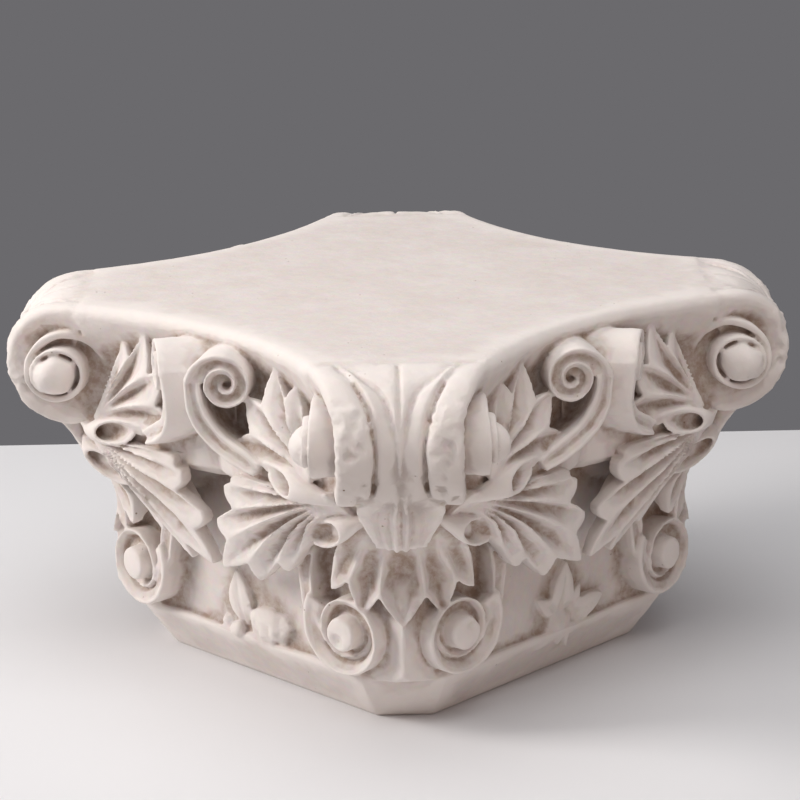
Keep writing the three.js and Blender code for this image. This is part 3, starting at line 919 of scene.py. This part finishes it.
def plaster_material(look):
    """Cast gypsum plaster, aged indoors: chalky, matt and slightly porous.

    It gives the eye a soft off-white with no gloss, brown dust and painted shade in the hollows, paler
    rubbed edges, painted shade on the down-facing scroll fronts, fine casting pits and a faint mottling.
    """
    material = bpy.data.materials.new("cast_gypsum_plaster")
    material.use_nodes = True
    tree = material.node_tree
    tree.nodes.clear()
    place = {"Vector": add_node(tree, "ShaderNodeTexCoord").outputs["Object"]}
    sunk = {"Value": add_node(tree, "ShaderNodeAttribute", {"attribute_name": "cavity"}).outputs["Fac"]}
    colour = {"data_type": "RGBA"}
    soft = {"interpolation_type": "SMOOTHSTEP"}
    product = {"operation": "MULTIPLY"}

    # Mottling of 60 mm and 9 mm, from uneven drying and handling.
    broad = add_node(
        tree, "ShaderNodeTexNoise", {}, {"Scale": 1 / (60 * MM), "Detail": 4.0, "Roughness": 0.6}, place
    )
    small = add_node(
        tree, "ShaderNodeTexNoise", {}, {"Scale": 1 / (9 * MM), "Detail": 5.0, "Roughness": 0.65}, place
    )
    patches = add_node(
        tree, "ShaderNodeMapRange", {}, {"From Min": 0.35, "From Max": 0.75, "To Max": 0.75},
        {"Value": broad.outputs["Fac"]},
    )
    tone = add_node(
        tree, "ShaderNodeMix", colour, {"A": look.plaster, "B": look.shade},
        {"Factor": patches.outputs["Result"]},
    )
    mottled = add_node(
        tree, "ShaderNodeMix", {"blend_type": "MULTIPLY", **colour}, {"Factor": 0.22},
        {"A": tone.outputs["Result"], "B": small.outputs["Color"]},
    )

    # Painted shade on the lower fronts of the scrolls, where they face down.
    scroll_shade_share = add_node(tree, "ShaderNodeAttribute", {"attribute_name": "painted_scroll_shade"}).outputs["Fac"]
    scroll_shade_share = add_node(tree, "ShaderNodeMath", product, {1: 0.75}, {0: scroll_shade_share})
    scroll_shaded = add_node(
        tree, "ShaderNodeMix", colour, {"B": look.painted_scroll_shade},
        {"Factor": scroll_shade_share.outputs["Value"], "A": mottled.outputs["Result"]},
    )

    # Dust, deepened by painted shade, lies where the surface is sunk, broken up by the mottling.
    hollow = add_node(
        tree, "ShaderNodeMapRange", soft, {"From Min": 0.56, "From Max": 0.98, "To Max": 0.8}, sunk
    )
    broken = add_node(
        tree, "ShaderNodeMapRange", {}, {"From Min": 0.3, "From Max": 0.62, "To Min": 0.35, "To Max": 1.0},
        {"Value": small.outputs["Fac"]},
    )
    dust_and_shade = add_node(
        tree, "ShaderNodeMath", product, {}, {0: hollow.outputs["Result"], 1: broken.outputs["Result"]}
    )
    dusty_and_shaded = add_node(
        tree, "ShaderNodeMix", colour, {"B": look.dust_and_shade},
        {"Factor": dust_and_shade.outputs["Value"], "A": scroll_shaded.outputs["Result"]},
    )

    # Raised edges are rubbed paler.
    raised = add_node(
        tree, "ShaderNodeMapRange", soft, {"From Min": 0.46, "From Max": 0.2, "To Max": 0.55}, sunk
    )
    rubbed = add_node(
        tree, "ShaderNodeMix", colour, {"B": look.edge},
        {"Factor": raised.outputs["Result"], "A": dusty_and_shaded.outputs["Result"]},
    )

    # Casting pits of about 1 mm, in patches.
    cells = add_node(tree, "ShaderNodeTexVoronoi", {}, {"Scale": 1 / (11 * MM)}, place)
    pit = add_node(
        tree, "ShaderNodeMapRange", soft, {"From Min": 0.05, "From Max": 0.1, "To Min": 1.0, "To Max": 0.0},
        {"Value": cells.outputs["Distance"]},
    )
    spread = add_node(tree, "ShaderNodeTexNoise", {}, {"Scale": 1 / (35 * MM), "Detail": 2.0}, place)
    where = add_node(
        tree, "ShaderNodeMapRange", {}, {"From Min": 0.56, "From Max": 0.7}, {"Value": spread.outputs["Fac"]}
    )
    pits = add_node(
        tree, "ShaderNodeMath", product, {}, {0: pit.outputs["Result"], 1: where.outputs["Result"]}
    )
    pitted = add_node(
        tree, "ShaderNodeMix", colour, {"B": look.dust_and_shade},
        {"Factor": pits.outputs["Value"], "A": rubbed.outputs["Result"]},
    )

    # A chalky grain of 2.5 mm, lumps of 14 mm, and the pits sunk into both.
    grain = add_node(
        tree, "ShaderNodeTexNoise", {}, {"Scale": 1 / (2.5 * MM), "Detail": 4.0, "Roughness": 0.7}, place
    )
    lumps = add_node(
        tree, "ShaderNodeTexNoise", {}, {"Scale": 1 / (14 * MM), "Detail": 3.0, "Roughness": 0.55}, place
    )
    relief = [
        (grain.outputs["Fac"], 0.35, 0.6, False),
        (lumps.outputs["Fac"], 0.5, 1.4, False),
        (pits.outputs["Value"], 0.8, 1.2, True),
    ]
    surface = {}
    for height, strength, depth, invert in relief:
        values = {"Strength": strength, "Distance": depth * MM}
        bump = add_node(tree, "ShaderNodeBump", {"invert": invert}, values, {"Height": height, **surface})
        surface = {"Normal": bump.outputs["Normal"]}

    # Gypsum's IOR is 1.52, and its open surface scatters almost all light.
    shader = add_node(
        tree, "ShaderNodeBsdfPrincipled", {},
        {"Roughness": 0.88, "IOR": 1.52, "Metallic": 0.0, "Specular IOR Level": 0.3},
        {"Base Color": pitted.outputs["Result"], **surface},
    )
    add_node(tree, "ShaderNodeOutputMaterial", {}, {}, {"Surface": shader.outputs["BSDF"]})
    return material


def plain_material(name, colour, roughness):
    """A smooth painted surface: one even colour, matt."""
    material = bpy.data.materials.new(name)
    material.use_nodes = True
    shader = material.node_tree.nodes["Principled BSDF"]
    shader.inputs["Base Color"].default_value = colour
    shader.inputs["Roughness"].default_value = roughness
    return material


# ---------------------------------------------------------------------------
# What a user can change


def colour_setting(name, description, hex_value):
    """A colour setting with its default."""
    return bpy.props.FloatVectorProperty(
        name=name, description=description, size=4, subtype="COLOR", min=0, max=1, default=srgb(hex_value)
    )


class CapitalSizes(bpy.types.PropertyGroup):
    grain: bpy.props.FloatProperty(
        name="Casting grain", description="Finest detail of the cast", default=1.5 * MM, unit="LENGTH"
    )
    triangles: bpy.props.IntProperty(
        name="Triangles", description="Most triangles in the finished mesh", default=196000
    )
    camera_distance: bpy.props.FloatProperty(
        name="Camera distance", description="From the middle of the capital", default=2.6284, unit="LENGTH"
    )
    camera_height: bpy.props.FloatProperty(
        name="Camera height", description="Above the horizon", default=math.radians(16.06), subtype="ANGLE"
    )


class CapitalLook(bpy.types.PropertyGroup):
    plaster: colour_setting("Plaster", "Clean plaster", "#ebe2de")
    shade: colour_setting("Mottling", "Darker patches", "#dfd3cb")
    # Painted shade for the down-facing lower fronts of the corner scrolls.
    painted_scroll_shade: colour_setting("Painted scroll shade", "Painted shade on the down-facing scroll fronts", "#a3978f")
    # Dust in the pits and hollows, also standing in for painted shade in the hollows.
    dust_and_shade: colour_setting("Dust and painted shade", "Dust in the hollows", "#8e7562")
    edge: colour_setting("Rubbed edges", "Raised edges", "#efe8e3")
    floor: colour_setting("Floor", "Floor board", "#e4e4e6")
    studio: colour_setting("Studio", "Plain wall far behind", "#6b6a6d")


# ---------------------------------------------------------------------------
# Operators


# The camera looks at the capital's diagonal, in metres and millimetres of lens.
CAMERA_TARGET = Vector((0.00075, 0.00075, 0.2389))
CAMERA_LENS = 120.58
CAMERA_ROLL = math.radians(-1.12)
# The floor board ends a little behind the capital.
FLOOR_REACH = 8.0
FLOOR_BACK = 0.66
# Soft studio lights as [name, place, size, power, colour]: a wide one overhead, one low on the left
# and a weak warm fill on the right.
LIGHT_TARGET = Vector((0, 0, 0.2))
LIGHTS = [
    ("top_light", (0.5, -0.5, 3.0), (3.0, 3.0), 66, "#fffefd"),
    ("key_light", (-2.3, -2.6, 2.0), (1.4, 1.2), 106, "#fffaf6"),
    ("fill_light", (2.6, -0.8, 0.7), (1.4, 1.2), 6, "#ffd9bc"),
]


class CAPITAL_OT_cast(bpy.types.Operator):
    """Builds the plaster capital in place of the plain model"""

    bl_idname = "capital.cast"
    bl_label = "Cast the capital"

    def execute(self, context):
        sizes, look = context.scene.capital_sizes, context.scene.capital_look
        piece = bpy.data.objects.new(PIECE, mesh_from(all_bodies(), PIECE))
        context.scene.collection.objects.link(piece)
        grain = sizes.grain * 1.0
        apply_modifier(piece, "REMESH", mode="VOXEL", voxel_size=grain)
        apply_modifier(piece, "SMOOTH", factor=0.5, iterations=2)
        wear(piece.data)
        faces = sum(len(polygon.vertices) - 2 for polygon in piece.data.polygons)
        if not faces:
            raise RuntimeError("the casting came out with no faces")
        apply_modifier(piece, "DECIMATE", ratio=min(1.0, sizes.triangles / faces))
        mesh = piece.data
        mesh.name = PIECE
        # The cavity sets the dust and painted shade in the hollows and the paler raised edges.
        store(mesh, "cavity", cavity(mesh))
        # Painted shade on the down-facing lower scroll fronts, kept for the material.
        store(mesh, "painted_scroll_shade", painted_scroll_shade(mesh))
        mesh.materials.clear()
        mesh.materials.append(plaster_material(look))
        mesh.polygons.foreach_set("use_smooth", np.ones(len(mesh.polygons), bool))
        mesh.update()
        print("capital:", len(mesh.polygons), "faces from", faces)
        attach(piece, "root")
        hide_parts(NODE)
        return {"FINISHED"}


class CAPITAL_OT_stage(bpy.types.Operator):
    """Sets up the floor, the lights and the camera"""

    bl_idname = "capital.stage"
    bl_label = "Set the stage"

    def execute(self, context):
        scene = context.scene
        sizes, look = scene.capital_sizes, scene.capital_look
        mesh = bpy.data.meshes.new("floor")
        across, ahead = Vector((1, 1, 0)).normalized() * FLOOR_REACH, Vector((1, -1, 0)).normalized()
        rear, near = ahead * -FLOOR_BACK, ahead * FLOOR_REACH
        mesh.from_pydata([near + across, rear + across, rear - across, near - across], [], [(0, 1, 2, 3)])
        mesh.materials.append(plain_material("painted_board", look.floor, 0.6))
        floor = bpy.data.objects.new("floor", mesh)
        scene.collection.objects.link(floor)

        level, rise = math.cos(sizes.camera_height), math.sin(sizes.camera_height)
        turn = math.radians(45)
        back = Vector((math.sin(turn) * level, -math.cos(turn) * level, rise))
        data = bpy.data.cameras.new("camera")
        data.lens = CAMERA_LENS
        data.sensor_width = 36
        data.clip_end = 60
        camera = bpy.data.objects.new("camera", data)
        scene.collection.objects.link(camera)
        place = Matrix.Translation(CAMERA_TARGET + back * sizes.camera_distance)
        roll = Matrix.Rotation(CAMERA_ROLL, 4, "Z")
        camera.matrix_world = place @ back.to_track_quat("Z", "Y").to_matrix().to_4x4() @ roll
        scene.camera = camera

        world = bpy.data.worlds.new("studio")
        world.use_nodes = True
        background = world.node_tree.nodes["Background"]
        background.inputs["Color"].default_value = look.studio
        background.inputs["Strength"].default_value = 1.0
        scene.world = world
        for name, place, size, power, colour in LIGHTS:
            light = bpy.data.lights.new(name, "AREA")
            light.shape = "RECTANGLE"
            light.size, light.size_y = size
            light.energy = power
            light.color = srgb(colour)[:3]
            lamp = bpy.data.objects.new(name, light)
            lamp.location = place
            lamp.rotation_euler = (Vector(place) - LIGHT_TARGET).to_track_quat("Z", "Y").to_euler()
            scene.collection.objects.link(lamp)
        scene.view_settings.view_transform = "Standard"
        return {"FINISHED"}


class CAPITAL_PT_panel(bpy.types.Panel):
    """Lists the steps and what can be changed"""

    bl_label = "Plaster capital"
    bl_idname = "CAPITAL_PT_panel"
    bl_space_type = "VIEW_3D"
    bl_region_type = "UI"
    bl_category = "Capital"

    def draw(self, context):
        for operator in (CAPITAL_OT_cast, CAPITAL_OT_stage):
            self.layout.operator(operator.bl_idname)
        for group in (context.scene.capital_sizes, context.scene.capital_look):
            for name in group.__annotations__:
                self.layout.prop(group, name)


CLASSES = (CapitalSizes, CapitalLook, CAPITAL_OT_cast, CAPITAL_OT_stage, CAPITAL_PT_panel)


def register():
    """Adds the classes and the scene's settings."""
    for item in CLASSES:
        bpy.utils.register_class(item)
    bpy.types.Scene.capital_sizes = bpy.props.PointerProperty(type=CapitalSizes)
    bpy.types.Scene.capital_look = bpy.props.PointerProperty(type=CapitalLook)


def unregister():
    """Takes them away again."""
    del bpy.types.Scene.capital_look
    del bpy.types.Scene.capital_sizes
    for item in reversed(CLASSES):
        bpy.utils.unregister_class(item)


def main():
    """Runs the steps in order."""
    register()
    bpy.ops.capital.stage()
    bpy.ops.capital.cast()


if __name__ == "__main__":
    main()
